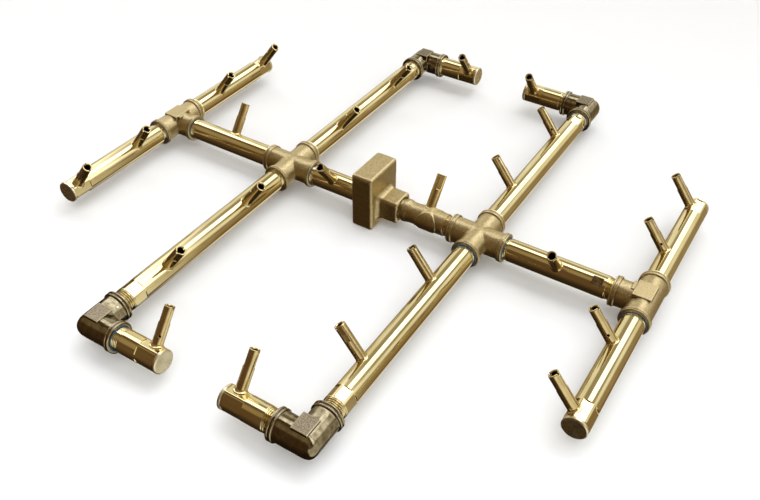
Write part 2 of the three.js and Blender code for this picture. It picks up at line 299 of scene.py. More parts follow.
def block(p, centre, size, radius=0.0):
    """A box with rounded edges."""
    beyond = np.abs(p - np.asarray(centre)) - (np.asarray(size) / 2 - radius)
    outside = np.linalg.norm(np.maximum(beyond, 0), axis=1)
    return outside + np.minimum(beyond.max(axis=1), 0) - radius


def unevenness(p, depth, wave, seed):
    """How far a cast surface sinks below its nominal shape, between 0 and about the depth."""
    rng = np.random.default_rng(seed)
    total = np.zeros(len(p))
    for _ in range(12):
        direction = rng.normal(size=3)
        direction /= np.linalg.norm(direction)
        frequency = 2 * math.pi / (wave * rng.uniform(0.6, 1.8))
        total += np.sin(p @ direction * frequency + rng.uniform(0, 2 * math.pi))
    return depth * (0.5 + total / 12)


def thread_wave(along, angle):
    """The height of a worn thread, from 0 in the root to 1 on the crest."""
    return 0.5 - 0.5 * np.cos(2 * math.pi * along / THREAD_PITCH + angle)


def fitting(p, both_x, both_y, groove, pad=None, lumps=CAST_LUMPS):
    """A threaded casting with arms along X and Y, each one-sided or running both ways."""
    x, y, z = p.T
    off_x = np.hypot(y, z)
    off_y = np.hypot(x, z)
    far_x = np.abs(x) if both_x else x
    far_y = np.abs(y) if both_y else y
    rod_x = meet(off_x - FITTING_R, np.maximum(far_x - REACH, -x - REACH * both_x))
    rod_y = meet(off_y - FITTING_R, np.maximum(far_y - REACH, -y - REACH * both_y))
    corner = np.clip(np.minimum(far_x, far_y) / FITTING_R, 0, 1)
    body = join(rod_x, rod_y, CREST_FILLET + (CORNER_FILLET - CREST_FILLET) * corner)
    if not both_x and not both_y:
        squared = (np.abs(x) ** ELBOW_CORNER + np.abs(y) ** ELBOW_CORNER) ** (1 / ELBOW_CORNER)
        body = np.minimum(body, np.hypot(squared, z) - FITTING_R)

    middle = REACH - COLLAR_LENGTH / 2
    collars = [
        meet(off - COLLAR_R, np.abs(far - middle) - COLLAR_LENGTH / 2, COLLAR_ROUND)
        for off, far in ((off_x, far_x), (off_y, far_y))
    ]
    body = join(body, np.minimum(*collars), COLLAR_FILLET)
    groove_at, groove_r = COLLAR_GROOVES[groove]
    grooves = [
        np.hypot(far - REACH + groove_at, off - COLLAR_R) - groove_r
        for off, far in ((off_x, far_x), (off_y, far_y))
    ]
    body = carve(body, np.minimum(*grooves), GROOVE_EDGE)
    if pad:
        body = join(body, block(p, *pad, PAD_ROUND), PAD_FILLET)
    body = body + unevenness(p, *lumps, seed=3)

    holes = [
        np.maximum(off_x - PASSAGE_R, -x - REACH * 2 * both_x),
        np.maximum(off_y - PASSAGE_R, -y - REACH * 2 * both_y),
        np.maximum(off_x - PORT_R, BORE_END - far_x),
        np.maximum(off_y - PORT_R, BORE_END - far_y),
    ]
    return carve(body, np.minimum.reduce(holes), PORT_EDGE)


def flat_pad(size, x, y):
    """The raised blank plate on top of a fitting, as centre and size."""
    return (x, y, PAD_TOP / 2), (*size, PAD_TOP)


def tee_field(p):
    body = fitting(p, False, True, "cast", flat_pad(TEE_PAD, TEE_PAD_INSET, 0))
    centre = (TEE_PAD_INSET + TEE_PAD[0] / 2, TEE_STEP_Y, FITTING_R / 2 + 0.1)
    step = block(p, centre, (*TEE_STEP, FITTING_R + 0.5), PAD_ROUND)
    inside = PORT_R - np.hypot(p[:, 1], p[:, 2])
    return join(body, np.maximum(step, inside), PAD_FILLET)


def cross_field(p):
    return fitting(p, True, True, "cast")


def elbow_field(p, pad_size):
    pad = flat_pad(pad_size, ELBOW_PAD_INSET, ELBOW_PAD_INSET)
    return fitting(p, False, False, "elbow", pad, ELBOW_LUMPS)


def mixer_body_field(p):
    """The mixer before its passages are cut: a tall block with a boss on its right face."""
    body = block(p, (MIXER_X, 0, MIXER_SIZE[2] / 2), MIXER_SIZE, MIXER_ROUND)
    boss_centre = ((MIXER_X + BOSS_FACE) / 2, 0, PIPE_Z)
    boss = block(p, boss_centre, (BOSS_FACE - MIXER_X, *BOSS_SIZE), BOSS_ROUND)
    above_foot = np.clip(p[:, 2] / MIXER_FOOT, 0, 1)
    return join(body, boss, BOSS_FILLET) + unevenness(p, *MIXER_LUMPS, seed=5) * above_foot


def mixer_field(p):
    """The hollow cast mixer, with its ports, its gas inlet and two air windows underneath."""
    x, y, z = p.T
    off_trunk = np.hypot(y, z - PIPE_Z)
    off_inlet = np.hypot(x - MIXER_X, y)
    around = np.arctan2(y, x - MIXER_X)
    threaded = INLET_R - CLEARANCE + INLET_THREAD_HEIGHT * thread_wave(z, around)
    threaded = np.maximum(threaded, INLET_R + INLET_COUNTERSINK - z)
    cavity_z = CAVITY_BOTTOM + CAVITY_SIZE[2] / 2
    holes = [
        block(p, (MIXER_X, 0, cavity_z), CAVITY_SIZE, CAVITY_ROUND),
        np.maximum(off_trunk - PORT_R, x - MIXER_X),
        np.maximum(off_trunk - PASSAGE_R, MIXER_X - x),
        np.maximum(off_trunk - PORT_R, BOSS_FACE - BOSS_PORT_DEPTH - x),
        np.maximum(off_trunk - BOSS_RECESS_R, BOSS_FACE - BOSS_RECESS - x),
        np.maximum(off_inlet - threaded, z - INLET_DEPTH),
        np.maximum(off_inlet - ORIFICE_THREAD_R - CLEARANCE, z - CAVITY_BOTTOM - 1),
    ]
    for side in (-1, 1):
        centre = (MIXER_X, side * WINDOW_Y, CAVITY_BOTTOM / 2 - 1)
        size = (WINDOW_SIZE, WINDOW_SIZE, CAVITY_BOTTOM + 6)
        holes.append(block(p, centre, size, WINDOW_ROUND))
    return carve(mixer_body_field(p), np.minimum.reduce(holes), MIXER_EDGE)


def neck_field(p):
    """The cast neck: waisted behind a bead, crossed by a blanked-off branch, and threaded at its far end."""
    x, y, z = p.T
    off = np.hypot(y, z)
    thread = NECK_THREAD_ROOT + THREAD_HEIGHT * thread_wave(x, np.arctan2(y, z))
    run_out = np.clip((x - NECK_THREAD_START + 1) / 1.2, 0, 1)
    radius = np.interp(x, *zip(*NECK_OUTLINE)) * (1 - run_out) + thread * run_out
    start = BOSS_FACE - BOSS_PORT_DEPTH
    tube = meet(off - radius, np.abs(x - (start + NECK_END) / 2) - (NECK_END - start) / 2 + 0.1)
    branch = meet(np.hypot(x - NECK_CROSSING_X, z) - NECK_BRANCH_R, off - NECK_BRANCH_REACH, NECK_EDGE)
    body = join(tube, branch, CREST_FILLET)
    body = body + unevenness(p, *NECK_LUMPS, seed=7) * (1 - run_out)
    return np.maximum(body, PIPE_BORE_R - off)


def jet_field(p, facing):
    """A jet along +Z from its pipe's axis, which is X. Its air hole faces the given angle about Z."""
    x, y, z = p.T
    off = np.hypot(x, y)
    c, s = math.cos(facing), math.sin(facing)
    toward, across = c * x + s * y, c * y - s * x
    body = meet(off - JET_R, z - JET_TIP, JET_RIM)
    flats = np.maximum(JET_FLATS_WIDTH / 2 - np.abs(across), JET_FLATS_START - z)
    body = carve(body, flats, 0.1)
    pipe = np.hypot(y, z) - (PIPE_R - 0.08)
    body = join(body, pipe, BRAZE + unevenness(p, *BRAZE_LUMPS, seed=11))
    body = meet(body, off - JET_R - BRAZE_REACH)
    body = np.maximum(body, -(pipe + BRAZE_DEPTH))

    flare = JET_FLARE * np.clip(z - JET_FLARE_START, 0, 1)
    bore = np.maximum(off - JET_BORE_R - flare, JET_CUP - z)
    orifice = off - JET_ORIFICE_R
    air_hole = np.maximum(np.hypot(across, z - AIR_HOLE_AT) - AIR_HOLE_R, -toward)
    slot_across = math.cos(JET_SLOT_TURN) * across - math.sin(JET_SLOT_TURN) * toward
    slot = np.maximum(np.abs(slot_across) - JET_SLOT[0] / 2, JET_TIP - JET_SLOT[1] - z)
    return carve(body, np.minimum.reduce([bore, orifice, air_hole, slot]), 0.12)


# ---------------------------------------------------------------- meshing


def mesh_of(name, points, faces, smooth_below=180):
    """A smooth-shaded mesh from points in millimetres, with edges sharper than the angle kept crisp."""
    mesh = bpy.data.meshes.new(name)
    mesh.from_pydata((np.asarray(points) * MM).tolist(), [], faces)
    mesh.polygons.foreach_set("use_smooth", np.ones(len(mesh.polygons), bool))
    if smooth_below < 180:
        mesh.set_sharp_from_angle(angle=math.radians(smooth_below))
    mesh.update()
    return mesh


def window(spans):
    """The part of a grid between a start and a stop along each axis."""
    return tuple(slice(start, stop) for start, stop in spans)


def snapped(field, points, step):
    """The points moved down the field's slope onto its surface."""
    reach = step / 20
    for _ in range(3):
        slope = np.empty_like(points)
        for axis in range(3):
            shift = np.zeros(3)
            shift[axis] = reach
            slope[:, axis] = (field(points + shift) - field(points - shift)) / (2 * reach)
        steepness = np.maximum((slope**2).sum(axis=1), 0.3)
        move = slope * (field(points) / steepness)[:, None]
        points = points - np.clip(move, -step / 2, step / 2)
    return points


def grown(name, field, low, high, step):
    """A closed quad mesh of the surface where the field crosses zero, inside the box from low to high."""
    step = step * COARSENESS
    low = np.asarray(low, float) - 2 * step
    counts = np.ceil((np.asarray(high) + 2 * step - low) / step).astype(int) + 1
    axes = [low[axis] + step * np.arange(counts[axis]) for axis in range(3)]
    grid = np.stack(np.meshgrid(*axes, indexing="ij"), axis=-1)
    values = field(grid.reshape(-1, 3)).reshape(counts)
    cells = counts - 1

    # One point in each cell that the surface passes through, midway between its crossings of the edges.
    total = np.zeros((*cells, 3))
    hits = np.zeros(cells)
    for axis in range(3):
        u, v = (axis + 1) % 3, (axis + 2) % 3
        for du, dv in product((0, 1), repeat=2):
            spans = [None] * 3
            spans[axis] = (0, cells[axis])
            spans[u] = (du, cells[u] + du)
            spans[v] = (dv, cells[v] + dv)
            near = values[window(spans)]
            spans[axis] = (1, counts[axis])
            far = values[window(spans)]
            crossed = (near < 0) != (far < 0)
            total[..., axis] += np.where(crossed, near / np.where(crossed, near - far, 1), 0)
            total[..., u] += du * crossed
            total[..., v] += dv * crossed
            hits += crossed
    active = hits > 0
    points = low + step * (np.argwhere(active) + total[active] / hits[active][:, None])
    index = np.full(cells, -1)
    index[active] = np.arange(len(points))

    # One face across each grid edge that the surface cuts, between the four cells round that edge.
    faces = []
    for axis in range(3):
        u, v = (axis + 1) % 3, (axis + 2) % 3
        spans = [None] * 3
        spans[u] = (1, cells[u])
        spans[v] = (1, cells[v])
        spans[axis] = (0, cells[axis])
        near = values[window(spans)] < 0
        spans[axis] = (1, counts[axis])
        far = values[window(spans)] < 0
        for leaving in (True, False):
            cell = np.argwhere((near != far) & (near == leaving))
            cell[:, [u, v]] += 1
            corners = []
            for du, dv in ((0, 0), (1, 0), (1, 1), (0, 1)):
                moved = cell.copy()
                moved[:, u] -= du
                moved[:, v] -= dv
                corners.append(index[tuple(moved.T)])
            faces.append(np.stack(corners if leaving else corners[::-1], axis=1))
    return mesh_of(name, snapped(field, points, step), np.concatenate(faces).tolist())


def swept(name, rings, closed, smooth_below=35):
    """Joins rings of points, all round the X axis, into a closed skin. Open ends get flat caps."""
    rings = np.asarray(rings)
    count, around = rings.shape[:2]
    index = np.arange(count * around).reshape(count, around)
    following = np.roll(index, -1, axis=0) if closed else index[1:]
    start = index if closed else index[:-1]
    turned_start = np.roll(start, -1, axis=1)
    turned_following = np.roll(following, -1, axis=1)
    quads = np.stack([start, following, turned_following, turned_start], axis=-1).reshape(-1, 4)
    faces = quads.tolist()
    if not closed:
        faces.append(index[0].tolist())
        faces.append(index[-1][::-1].tolist())
    return mesh_of(name, rings.reshape(-1, 3), faces, smooth_below)


ANGLES = np.linspace(0, 2 * math.pi, AROUND, endpoint=False)  # from the top towards +Y


def ring(along, radius):
    """Points round the X axis, at one distance along it or at one for each angle."""
    along = np.broadcast_to(along, ANGLES.shape)
    return np.stack([along, radius * np.sin(ANGLES), radius * np.cos(ANGLES)], axis=-1)


def turned(name, profile):
    """A solid of revolution about X from (distance, radius) points, capped at both ends."""
    return swept(name, [ring(along, radius) for along, radius in profile], closed=False)


# ---------------------------------------------------------------- pipes, plugs, sealant and the orifice


def flattened(radius, depth, turn, sides=6):
    """The radius at each angle of a round bar with evenly spaced flats, the first facing the given angle."""
    sector = 2 * math.pi / sides
    off_middle = (ANGLES - turn + sector / 2) % sector - sector / 2
    return np.minimum(radius, (radius - depth) / np.cos(np.clip(off_middle, -1.2, 1.2)))


def spread(start, stop, step):
    """Evenly spaced distances from start to stop, about a step apart."""
    return np.linspace(start, stop, max(2, round(abs(stop - start) / step) + 1))


def pipe_mesh(name, start, end, threads, flats):
    """A pipe along +X. threads are (face, direction, length) and flats are (from, to, turn, sides)."""
    stations = {start, end}
    for face, direction, length in threads:
        stations.update(spread(face - direction, face + direction * (length + 1), 0.2 * COARSENESS))
        stations.add(face + direction * (length + 1 + PLAIN_RING))
    for low, high, _, _ in flats:
        stations.update((low - FLAT_RUN_OUT, low, high, high + FLAT_RUN_OUT))
        stations.update((low - FLAT_RUN_OUT - PLAIN_RING, low + PLAIN_RING))
        stations.update((high - PLAIN_RING, high + FLAT_RUN_OUT + PLAIN_RING))
    outer = []
    for along in sorted(s for s in stations if start <= s <= end):
        radius = np.full(AROUND, PIPE_R)
        for low, high, turn, sides in flats:
            if low <= along <= high:
                radius = np.minimum(radius, flattened(PIPE_R, FLAT_DEPTH, turn, sides))
        for face, direction, length in threads:
            beyond = (along - face) * direction
            if beyond < length + 1:
                crest = PORT_R + THREAD_TAPER * max(beyond, 0)
                run_out = min(max((length + 1 - beyond) / 2, 0), 1)
                groove = THREAD_HEIGHT * (1 - thread_wave(along, ANGLES))
                radius = radius * (1 - run_out) + (crest - groove) * run_out
        outer.append(ring(along, radius))
    bore = [ring(end, PIPE_BORE_R), ring(start, PIPE_BORE_R)]
    return swept(name, outer + bore, closed=True)


def plug_mesh():
    """A plug with a chamfered head. Its face, at x = 0, still shows the turning marks."""
    seat = -PLUG_HEAD
    spigot_end = seat - PLUG_SPIGOT
    rim = PIPE_R - 0.05
    profile = [(spigot_end, 0.3), (spigot_end, PLUG_SPIGOT_R - 0.5), (spigot_end + 0.5, PLUG_SPIGOT_R)]
    profile += [(seat, PLUG_SPIGOT_R), (seat, rim - 0.3), (seat + 0.3, rim)]
    profile += [(-PLUG_CHAMFER, rim), (-0.1, PIPE_R - PLUG_CHAMFER)]
    for radius in spread(PIPE_R - PLUG_CHAMFER - 0.25, 0.3, 0.22):
        dish = 0.12 * (1 - radius / PIPE_R)
        mark = 0.025 * (1 + math.sin(radius * 2 * math.pi / 0.95))
        profile.append((-dish - mark, radius))
    return turned("plug", profile)


def sealant_mesh(amount, seed):
    """An uneven bead squeezed out of a threaded port, with its port face at x = 0."""
    rng = np.random.default_rng(seed)
    swell = np.zeros(AROUND)
    for waves in (2, 3, 5, 9, 14):
        swell += np.sin(waves * ANGLES + rng.uniform(0, 2 * math.pi)) / math.sqrt(waves)
    swell = np.clip(0.75 + 0.3 * swell, 0.25, 1.4) * amount
    rings = []
    for turn in np.linspace(0, 2 * math.pi, 10, endpoint=False):
        along = -0.1 + (0.25 + 0.7 * swell) * math.cos(turn)
        radius = PORT_R + 0.5 + (0.45 + 0.45 * swell) * math.sin(turn)
        rings.append(ring(along, radius))
    return swept("sealant", rings[::-1], closed=True)


def orifice_mesh():
    """The drilled spud, drawn along +X: a hexagon head, a threaded shank and a tapered nose."""
    seat = INLET_DEPTH - CLEARANCE
    head = flattened(ORIFICE_HEAD_R, 0.65, 0)
    rings = [ring(seat - ORIFICE_HEAD, head - 0.5), ring(seat - ORIFICE_HEAD + 0.4, head)]
    rings += [ring(seat - 0.4, head), ring(seat, head - 0.4), ring(seat, ORIFICE_THREAD_R)]
    for along in spread(seat + 0.2, ORIFICE_TOP - 2, 0.12):
        crest = ORIFICE_THREAD_R - 0.35 * (1 - thread_wave(along * 2, ANGLES))
        rings.append(ring(along, crest))
    rings += [ring(ORIFICE_TOP, ORIFICE_BORE_R + 0.8), ring(ORIFICE_TOP, ORIFICE_BORE_R)]
    rings.append(ring(seat - ORIFICE_HEAD, ORIFICE_BORE_R))
    return swept("gas_orifice", rings, closed=True)


# ---------------------------------------------------------------- materials


def add(tree, kind, inputs=None, **settings):
    """Adds a node. An input is a plain value, or another node's output to link from."""
    node = tree.nodes.new(kind)
    for key, value in settings.items():
        setattr(node, key, value)
    for key, value in (inputs or {}).items():
        if isinstance(value, bpy.types.NodeSocket):
            tree.links.new(value, node.inputs[key])
        else:
            node.inputs[key].default_value = value
    return node


def noise(tree, stretch, scale=1.0, detail=4.0, distortion=0.0):
    """Noise on the piece's own coordinates, in cycles per metre along each axis."""
    where = add(tree, "ShaderNodeTexCoord").outputs["Object"]
    stretched = add(tree, "ShaderNodeMapping", {"Vector": where, "Scale": stretch}).outputs[0]
    inputs = {"Vector": stretched, "Scale": scale, "Detail": detail, "Distortion": distortion}
    return add(tree, "ShaderNodeTexNoise", inputs).outputs[0]


def ranged(tree, value, low, high, to_low, to_high):
    """The value stretched from one range to another, and kept inside it."""
    inputs = {"Value": value, "From Min": low, "From Max": high, "To Min": to_low, "To Max": to_high}
    return add(tree, "ShaderNodeMapRange", inputs).outputs[0]


def ramp(tree, value, stops):
    """A colour that runs through (position, colour) stops as the value goes from 0 to 1."""
    node = add(tree, "ShaderNodeValToRGB", {"Fac": value})
    elements = node.color_ramp.elements
    while len(elements) < len(stops):
        elements.new(0.5)
    for element, (position, colour) in zip(elements, stops):
        element.position = position
        element.color = (*colour, 1)
    return node.outputs[0]


def mixed(tree, share, first, second):
    """The first colour at a share of 0 and the second at 1. Each is a plain colour or a socket."""
    node = add(tree, "ShaderNodeMix", data_type="RGBA")
    for socket, value in ((0, share), (6, first), (7, second)):
        if isinstance(value, bpy.types.NodeSocket):
            tree.links.new(value, node.inputs[socket])
        else:
            node.inputs[socket].default_value = value if socket == 0 else (*value, 1)
    return node.outputs[2]


def bump(tree, height, strength, depth, under=None):
    """A normal socket for relief of a depth in metres, laid over another one if given."""
    inputs = {"Height": height, "Strength": strength, "Distance": depth}
    if under:
        inputs["Normal"] = under
    return add(tree, "ShaderNodeBump", inputs).outputs[0]


def edged(tree, colour, painted_shade, wear_and_highlight):
    """The colour with painted shade darkening its hollow corners, and brightened along sharp edges by rubbed
    wear and a painted highlight.
    """
    pointed = add(tree, "ShaderNodeNewGeometry").outputs["Pointiness"]
    # painted shade: darker where the surface is hollow, where shade falls
    hollow = ranged(tree, pointed, 0.45, 0.494, 0.9, 0)
    # brighter on sharp edges: partly rubbed wear, partly a painted highlight
    sharp = ranged(tree, pointed, 0.51, 0.56, 0, 0.75)
    return mixed(tree, sharp, mixed(tree, hollow, colour, painted_shade), wear_and_highlight)


def brass(name, colour, roughness, normal, anisotropy=0.0):
    """A metal from three functions, which make the sockets for its colour, roughness and normal."""
    material = bpy.data.materials.new(name)
    material.use_nodes = True
    tree = material.node_tree
    shader = tree.nodes["Principled BSDF"]
    shader.inputs["Metallic"].default_value = 1
    if anisotropy:
        shader.inputs["Anisotropic"].default_value = anisotropy
        tangent = add(tree, "ShaderNodeTangent", direction_type="RADIAL", axis="X").outputs[0]
        tree.links.new(tangent, shader.inputs["Tangent"])
    tree.links.new(colour(tree), shader.inputs["Base Color"])
    tree.links.new(roughness(tree), shader.inputs["Roughness"])
    tree.links.new(normal(tree), shader.inputs["Normal"])
    return material


def drawn_brass():
    """Polished pipe with fine streaks along it and a few dull patches."""

    def colour(tree):
        patches = noise(tree, (30, 90, 90), detail=3)
        return ramp(tree, patches, [(0.3, (0.76, 0.64, 0.34)), (0.7, (0.88, 0.78, 0.47))])

    def roughness(tree):
        streaks = noise(tree, (14, 900, 900), detail=3)
        return ranged(tree, streaks, 0.3, 0.75, 0.06, 0.15)

    def normal(tree):
        scratches = noise(tree, (25, 1500, 1500), detail=2)
        waves = noise(tree, (2, 300, 300), detail=3)
        return bump(tree, scratches, 0.06, 0.00004, bump(tree, waves, 0.12, 0.0002))

    return brass("drawn_brass", colour, roughness, normal)


def turned_brass():
    """Jets, with fine turning marks across them."""

    def colour(tree):
        patches = noise(tree, (90, 90, 90), detail=3)
        return ramp(tree, patches, [(0.3, (0.72, 0.57, 0.28)), (0.7, (0.87, 0.74, 0.42))])

    def roughness(tree):
        return ranged(tree, noise(tree, (200, 400, 400), detail=4), 0.3, 0.7, 0.14, 0.26)

    def normal(tree):
        return bump(tree, noise(tree, (60, 1800, 1800), detail=2), 0.06, 0.00004)

    return brass("turned_brass", colour, roughness, normal)


def plug_brass():
    """Plug faces, whose turning marks spread the light into fans."""

    def colour(tree):
        patches = noise(tree, (150, 150, 150), detail=3)
        return ramp(tree, patches, [(0.3, (0.86, 0.79, 0.55)), (0.7, (0.96, 0.90, 0.70))])

    def roughness(tree):
        return ranged(tree, noise(tree, (500, 500, 500), detail=3), 0.3, 0.7, 0.24, 0.36)

    def normal(tree):
        return bump(tree, noise(tree, (900, 900, 900), detail=3), 0.1, 0.00005)

    return brass("plug_brass", colour, roughness, normal, anisotropy=0.75)


def cast_brass():
    """Sand-cast surface, blasted to a dull tan, with painted shade in hollow corners and a little brighter
    along sharp edges, from rubbed wear and a painted highlight.
    """

    def colour(tree):
        grain = noise(tree, (750, 750, 750), detail=6)
        dull = ramp(tree, grain, [(0.34, (0.47, 0.375, 0.195)), (0.68, (0.66, 0.545, 0.31))])
        # painted shade in the hollows, and rubbed wear with a painted highlight on sharp edges
        return edged(tree, dull, (0.10, 0.065, 0.03), (0.82, 0.73, 0.47))

    def roughness(tree):
        return ranged(tree, noise(tree, (700, 700, 700), detail=4), 0.3, 0.7, 0.34, 0.48)

    def normal(tree):
        grit = noise(tree, (1500, 1500, 1500), detail=4)
        pits = noise(tree, (600, 600, 600), detail=3)
        return bump(tree, grit, 0.42, 0.0002, bump(tree, pits, 0.25, 0.0002))

    return brass("cast_brass", colour, roughness, normal)


def tumbled_brass():
    """Elbows, smoother and browner than the other castings, with a rough rosy pad on top."""

    def pad_share(tree):
        where = add(tree, "ShaderNodeTexCoord").outputs["Object"]
        height = add(tree, "ShaderNodeSeparateXYZ", {"Vector": where}).outputs["Z"]
        return ranged(tree, height, (PAD_TOP - 0.75) * MM, (PAD_TOP - 0.55) * MM, 0, 1)

    def colour(tree):
        blotches = noise(tree, (260, 260, 260), detail=5)
        body = ramp(tree, blotches, [(0.3, (0.21, 0.17, 0.10)), (0.7, (0.38, 0.33, 0.215))])
        speckle = noise(tree, (900, 900, 900), detail=4)
        pad = ramp(tree, speckle, [(0.35, (0.16, 0.125, 0.08)), (0.65, (0.40, 0.34, 0.25))])
        both = mixed(tree, pad_share(tree), body, pad)
        # near-black painted shade in the hollows, and rubbed wear with a painted highlight on sharp edges
        return edged(tree, both, (0.045, 0.03, 0.015), (0.85, 0.76, 0.52))

    def roughness(tree):
        body = ranged(tree, noise(tree, (300, 300, 300), detail=4), 0.3, 0.7, 0.06, 0.18)
        inputs = {0: body, 1: ranged(tree, pad_share(tree), 0, 1, 0, 0.3)}
        return add(tree, "ShaderNodeMath", inputs, operation="ADD").outputs[0]

    def normal(tree):
        dents = noise(tree, (420, 420, 420), detail=4)
        grit = noise(tree, (1700, 1700, 1700), detail=3)
        return bump(tree, grit, 0.2, 0.0001, bump(tree, dents, 0.14, 0.0002))

    return brass("tumbled_brass", colour, roughness, normal)


def machined_brass():
    """Freshly cut metal inside the ports and on the threads."""

    def colour(tree):
        patches = noise(tree, (300, 300, 300), detail=3)
        return ramp(tree, patches, [(0.3, (0.46, 0.34, 0.16)), (0.7, (0.70, 0.56, 0.30))])

    def roughness(tree):
        return ranged(tree, noise(tree, (900, 900, 900), detail=3), 0.3, 0.7, 0.24, 0.4)

    def normal(tree):
        return bump(tree, noise(tree, (2000, 2000, 2000), detail=2), 0.15, 0.00005)

    return brass("machined_brass", colour, roughness, normal)


def scorched_brass():
    """A dull brown patch left where the pipe was gripped and heated."""

    def colour(tree):
        patches = noise(tree, (400, 400, 400), detail=4)
        return ramp(tree, patches, [(0.35, (0.13, 0.085, 0.045)), (0.65, (0.30, 0.22, 0.12))])

    def roughness(tree):
        return ranged(tree, noise(tree, (600, 600, 600), detail=3), 0.3, 0.7, 0.35, 0.55)

    def normal(tree):
        return bump(tree, noise(tree, (1500, 1500, 1500), detail=3), 0.15, 0.0001)

    return brass("scorched_brass", colour, roughness, normal)


def bore_shade_brass():
    """The bores of the jets, near-black with painted shade deep inside them."""

    def colour(tree):
        patches = noise(tree, (300, 300, 300), detail=4)
        return ramp(tree, patches, [(0.3, (0.020, 0.013, 0.008)), (0.7, (0.07, 0.045, 0.024))])

    def roughness(tree):
        return ranged(tree, noise(tree, (600, 600, 600), detail=3), 0.3, 0.7, 0.45, 0.65)

    def normal(tree):
        return bump(tree, noise(tree, (1500, 1500, 1500), detail=3), 0.2, 0.0001)

    return brass("bore_shade_brass", colour, roughness, normal)


def sealant():
    """Set blue thread compound, slightly waxy."""
    material = bpy.data.materials.new("thread_sealant")
    material.use_nodes = True
    tree = material.node_tree
    shader = tree.nodes["Principled BSDF"]
    shades = noise(tree, (700, 700, 700), detail=4)
    colours = [(0.3, (0.006, 0.030, 0.062)), (0.7, (0.020, 0.095, 0.170))]
    tree.links.new(ramp(tree, shades, colours), shader.inputs["Base Color"])
    tree.links.new(ranged(tree, shades, 0.3, 0.7, 0.4, 0.6), shader.inputs["Roughness"])
    lumps = noise(tree, (1500, 1500, 1500), detail=3)
    tree.links.new(bump(tree, lumps, 0.4, 0.0001), shader.inputs["Normal"])
    return material


MATERIALS = {
    "drawn_brass": drawn_brass(),
    "turned_brass": turned_brass(),
    "plug_brass": plug_brass(),
    "cast_brass": cast_brass(),
    "tumbled_brass": tumbled_brass(),
    "thread_sealant": sealant(),
}
MACHINED = machined_brass()
# near-black painted shade for the bores of the jets
BORE_SHADE = bore_shade_brass()
SCORCHED = scorched_brass()


def finish_mesh(mesh, slot, other=None, where=None):
    """Gives a mesh its material, and another one on faces whose middles, in millimetres, pass the test."""
    mesh.materials.append(MATERIALS[slot])
    if other:
        mesh.materials.append(other)
        centres = np.empty(len(mesh.polygons) * 3)
        mesh.polygons.foreach_get("center", centres)
        chosen = where(centres.reshape(-1, 3) / MM)
        mesh.polygons.foreach_set("material_index", chosen.astype(np.int32))
    return mesh


# ---------------------------------------------------------------- placing
# A branch is (x, y, heading): the middle of a fitting, and the bearing of one of its arms in degrees.


def place(name, mesh, branch, along=0.0, node=None, local=None):
    """Puts a mesh some way along a branch, in place of a CAD node."""
    x, y, heading = branch
    piece = bpy.data.objects.new(name, mesh)
    bpy.context.collection.objects.link(piece)
    centre = Matrix.Translation(Vector((x, y, PIPE_Z)) * MM)
    turn = Matrix.Rotation(math.radians(heading), 4, "Z")
    shift = Matrix.Translation((along * MM, 0, 0))
    piece.matrix_world = centre @ turn @ shift @ (local or Matrix())
    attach(piece, "root")
    if node:
        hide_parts(node)


def near_port(p):
    """The bores and lips of a fitting, which were cut after casting."""
    x, y, z = np.abs(p.T)
    off_axis = np.minimum(np.hypot(y, z), np.hypot(x, z))
    return (off_axis < PORT_R + 0.45) & (np.maximum(x, y) > BORE_END)


def in_jet_bore(p):
    return (np.hypot(p[:, 0], p[:, 1]) < JET_BORE_R + 0.15) & (p[:, 2] > JET_CUP - 1)


def on_trunk_flat(p):
    """The flat on the right trunk pipe, which was left dull."""
    x, y, z = p.T
    facing = np.degrees(np.arctan2(y, z)) - TRUNK_FLAT_FACING
    along = (x > TRUNK_FLAT[0] - 0.4) & (x < TRUNK_FLAT[1] + 0.4)
    return along & (np.abs(facing) < TRUNK_FLAT_HALF) & (np.hypot(y, z) > PIPE_BORE_R + 0.5)


def cut_in_mixer(p):
    """The ports and the gas inlet of the mixer, which were cut after casting."""
    x, y, z = p.T
    in_port = (np.hypot(y, z - PIPE_Z) < PORT_R + 0.5) & ((x > MIXER_RIGHT) | (x < MIXER_X))
    in_inlet = (np.hypot(x - MIXER_X, y) < INLET_R + INLET_COUNTERSINK + 0.1) & (z < INLET_DEPTH + 0.2)
    return in_port | in_inlet


def on_neck_thread(p):
    return p[:, 0] > NECK_THREAD_START - 0.6


def fitting_mesh(name, field, slot, left=-REACH):
    """A fitting that reaches from the given x, and as far as a threaded port on its other sides."""
    mesh = grown(name, field, (left, -REACH, -COLLAR_R), (REACH, REACH, COLLAR_R), CAST_STEP)
    return finish_mesh(mesh, slot, MACHINED, near_port)


def fitting_meshes():
    straight = partial(elbow_field, pad_size=ELBOW_PAD)
    turned_round = partial(elbow_field, pad_size=ELBOW_PAD[::-1])
    return {
        "cross": fitting_mesh("cross", cross_field, "cast_brass"),
        "tee": fitting_mesh("tee", tee_field, "cast_brass"),
        "elbow": fitting_mesh("elbow", straight, "tumbled_brass", -COLLAR_R),
        "turned_elbow": fitting_mesh("turned_elbow", turned_round, "tumbled_brass"),
    }


def jet_meshes():
    """Jets by the quarter turn of their air hole about the pipe, and by the side they lean to."""
    meshes = {}
    edge = JET_R + BRAZE_REACH + 0.1
    for quarter in range(4):
        field = partial(jet_field, facing=math.radians(HOLE_BEARING + 90 * quarter))
        upright = grown("jet", field, (-edge, -edge, JET_BOTTOM), (edge, edge, JET_TIP), JET_STEP)
        # the bores of the jets get the near-black painted shade
        finish_mesh(upright, "turned_brass", BORE_SHADE, in_jet_bore)
        for lean in (-1, 1):
            meshes[quarter, lean] = upright.copy()
            meshes[quarter, lean].transform(Matrix.Rotation(-lean * JET_TILT, 4, "X"))
    return meshes


